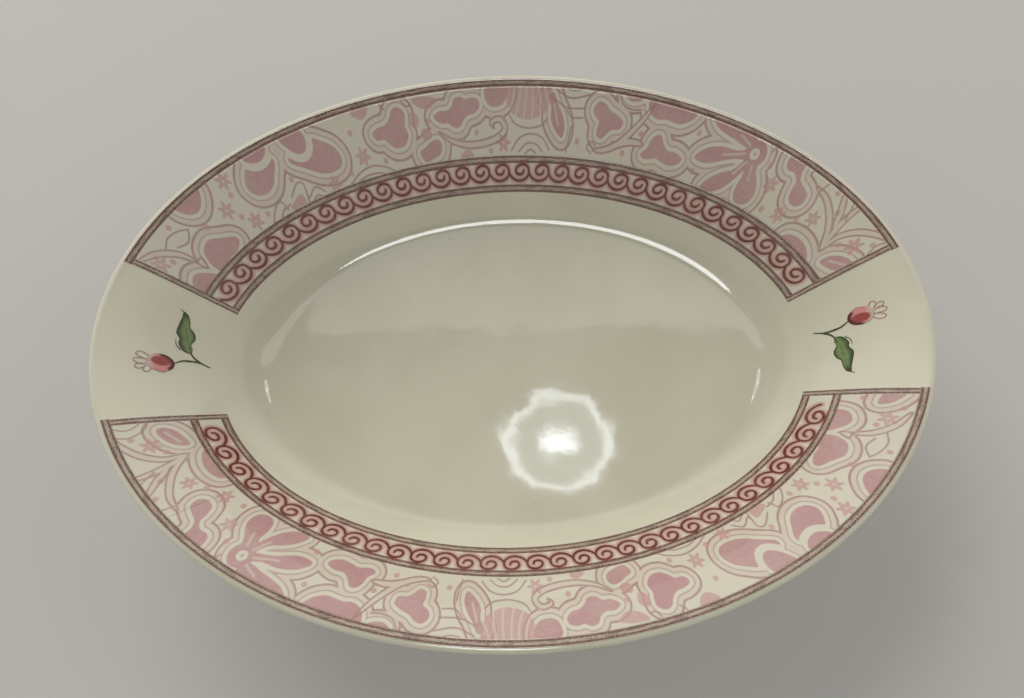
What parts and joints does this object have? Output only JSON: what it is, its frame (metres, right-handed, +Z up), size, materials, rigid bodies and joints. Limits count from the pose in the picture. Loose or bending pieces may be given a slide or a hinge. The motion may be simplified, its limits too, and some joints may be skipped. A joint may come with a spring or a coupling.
{
  "type": "oval serving bowl",
  "caption": "Open oval porcelain serving bowl with a flared wall, low foot ring and pink flowered border panels printed inside the rim.",
  "frame": {"origin": "centre of the footprint, on the plane that the foot ring rests on", "axes": "+X along the bowl's length, +Y across it towards the back panel, +Z up out of the bowl"},
  "size_m": [0.25, 0.1788, 0.0456],
  "materials": {
    "porcelain": "matt unglazed, seen only at the foot ring's resting face",
    "cream_glaze": "glossy clear glaze over a cream body",
    "pink_flower_print": "glossy, dusty pink flowered print",
    "scroll_print": "glossy, pale pink ground with plum running scrolls and double lines",
    "plum_line_print": "glossy, plum double line with dashes",
    "rosebud_print": "glossy, hand-coloured rosebud and green leaf"
  },
  "bodies": {
    "root": {"porcelain_body": "porcelain", "glaze_coat": "cream_glaze", "underside_glaze": "cream_glaze", "back_flower_sheet": "pink_flower_print", "back_flower_end_sheet": "pink_flower_print", "back_scroll_strip": "scroll_print", "back_rim_line": "plum_line_print", "back_right_end_line": "plum_line_print", "back_left_end_line": "plum_line_print", "front_flower_sheet": "pink_flower_print", "front_flower_end_sheet": "pink_flower_print", "front_scroll_strip": "scroll_print", "front_rim_line": "plum_line_print", "front_left_end_line": "plum_line_print", "front_right_end_line": "plum_line_print", "right_rosebud_sprig": "rosebud_print", "left_rosebud_sprig": "rosebud_print"}
  },
  "joints": []
}
